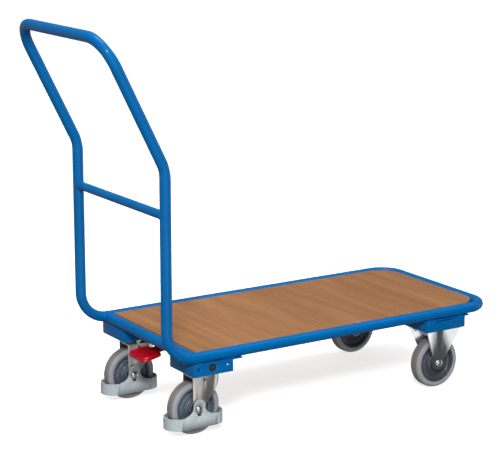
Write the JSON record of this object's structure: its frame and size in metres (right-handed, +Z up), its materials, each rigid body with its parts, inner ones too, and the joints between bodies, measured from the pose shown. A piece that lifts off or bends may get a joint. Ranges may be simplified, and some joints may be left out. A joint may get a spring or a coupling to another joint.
{
  "type": "flatbed platform truck",
  "caption": "Flatbed platform truck: bent-tube frame with a leaning push handle, panel deck, fixed front castors, braked swivel rear castors and a central pedal.",
  "frame": {"origin": "on the floor, below the centre of the overall box", "axes": "+X to the front of the truck, +Y to the left of the person pushing, +Z up"},
  "size_m": [1.072, 0.432, 0.9205],
  "materials": {
    "blue_paint": "smooth powder coat, semi gloss",
    "beech_board": "beech decor, matt",
    "grey_tread": "matt thermoplastic rubber",
    "charcoal_hub": "moulded polyamide",
    "grey_guard": "moulded, fine grained",
    "red_pedal": "moulded, glossy",
    "black_bush": "moulded",
    "dark_steel": "phosphated",
    "zinc_sheet": "bright zinc plate",
    "bright_zinc": "bright zinc plate"
  },
  "bodies": {
    "truck": {"castor_bolts": "bright_zinc", "castor_bracket_front_left": "blue_paint", "castor_bracket_front_right": "blue_paint", "castor_bracket_rear_left": "blue_paint", "castor_bracket_rear_right": "blue_paint", "castor_nuts": "bright_zinc", "cross_tube": "blue_paint", "deck_board": "beech_board", "deck_screws": "bright_zinc", "fixed_fork_left": "zinc_sheet", "fixed_fork_right": "zinc_sheet", "front_axle_bolts": "bright_zinc", "front_axle_nuts": "bright_zinc", "front_axle_sleeves": "bright_zinc", "front_bow": "blue_paint", "handle_post_left": "blue_paint", "handle_post_right": "blue_paint", "handle_rung": "blue_paint", "kingpins": "dark_steel", "push_bar": "blue_paint", "side_rail_left": "blue_paint", "side_rail_right": "blue_paint", "swivel_plate_left": "zinc_sheet", "swivel_plate_right": "zinc_sheet", "upper_races": "dark_steel"},
    "rear_fork_left": {"swivel_fork_left": "zinc_sheet", "foot_guard_left": "grey_guard", "race_balls_left": "bright_zinc", "rocker_pin_left": "dark_steel", "axle_bolt_rear_left": "bright_zinc", "axle_nut_rear_left": "bright_zinc", "axle_sleeve_rear_left": "bright_zinc"},
    "plunger_left": {"brake_plunger_left": "dark_steel"},
    "rocker_left": {"brake_rocker_left": "dark_steel"},
    "wheel_rear_left": {"wheel_tread_rear_left": "grey_tread", "wheel_hub_rear_left": "charcoal_hub", "wheel_bearings_rear_left": "bright_zinc"},
    "wheel_front_left": {"wheel_tread_front_left": "grey_tread", "wheel_hub_front_left": "charcoal_hub", "wheel_bearings_front_left": "bright_zinc"},
    "rear_fork_right": {"swivel_fork_right": "zinc_sheet", "foot_guard_right": "grey_guard", "race_balls_right": "bright_zinc", "rocker_pin_right": "dark_steel", "axle_bolt_rear_right": "bright_zinc", "axle_nut_rear_right": "bright_zinc", "axle_sleeve_rear_right": "bright_zinc"},
    "plunger_right": {"brake_plunger_right": "dark_steel"},
    "rocker_right": {"brake_rocker_right": "dark_steel"},
    "wheel_rear_right": {"wheel_tread_rear_right": "grey_tread", "wheel_hub_rear_right": "charcoal_hub", "wheel_bearings_rear_right": "bright_zinc"},
    "wheel_front_right": {"wheel_tread_front_right": "grey_tread", "wheel_hub_front_right": "charcoal_hub", "wheel_bearings_front_right": "bright_zinc"},
    "brake": {"brake_shaft": "dark_steel", "shaft_bushes": "black_bush", "brake_cams": "dark_steel", "brake_pedal": "red_pedal"}
  },
  "joints": [
    {"name": "swivel_left", "type": "hinge", "parent": "truck", "child": "rear_fork_left", "pos_m": [-0.2485, 0.15, 0.138], "axis": [0, 0, 1], "continuous": true},
    {"name": "rear_wheel_left_spin", "type": "hinge", "parent": "rear_fork_left", "child": "wheel_rear_left", "pos_m": [-0.2845, 0.15, 0.0625], "axis": [0, 1, 0], "continuous": true},
    {"name": "front_wheel_left_spin", "type": "hinge", "parent": "truck", "child": "wheel_front_left", "pos_m": [0.3865, 0.17, 0.0625], "axis": [0, 1, 0], "continuous": true},
    {"name": "swivel_right", "type": "hinge", "parent": "truck", "child": "rear_fork_right", "pos_m": [-0.2485, -0.15, 0.138], "axis": [0, 0, 1], "continuous": true},
    {"name": "rear_wheel_right_spin", "type": "hinge", "parent": "rear_fork_right", "child": "wheel_rear_right", "pos_m": [-0.2845, -0.15, 0.0625], "axis": [0, 1, 0], "continuous": true},
    {"name": "front_wheel_right_spin", "type": "hinge", "parent": "truck", "child": "wheel_front_right", "pos_m": [0.3865, -0.17, 0.0625], "axis": [0, 1, 0], "continuous": true},
    {"name": "brake_turn", "type": "hinge", "parent": "truck", "child": "brake", "pos_m": [-0.2705, 0, 0.168], "axis": [0, -1, 0], "range_deg": [0, 8]},
    {"name": "plunger_left_lift", "type": "slide", "parent": "truck", "child": "plunger_left", "axis": [0, 0, 1], "range_m": [0, 0.0031]},
    {"name": "rocker_left_tilt", "type": "hinge", "parent": "rear_fork_left", "child": "rocker_left", "pos_m": [-0.2685, 0.15, 0.1293], "axis": [0, -1, 0], "range_deg": [0, 8.85]},
    {"name": "plunger_right_lift", "type": "slide", "parent": "truck", "child": "plunger_right", "axis": [0, 0, 1], "range_m": [0, 0.0031]},
    {"name": "rocker_right_tilt", "type": "hinge", "parent": "rear_fork_right", "child": "rocker_right", "pos_m": [-0.2685, -0.15, 0.1293], "axis": [0, -1, 0], "range_deg": [0, 8.85]}
  ],
  "couplings": [
    {"joint": "plunger_left_lift", "follows": "brake_turn", "m_per_rad": 0.022},
    {"joint": "rocker_left_tilt", "follows": "brake_turn", "ratio": 1.1},
    {"joint": "plunger_right_lift", "follows": "brake_turn", "m_per_rad": 0.022},
    {"joint": "rocker_right_tilt", "follows": "brake_turn", "ratio": 1.1}
  ]
}
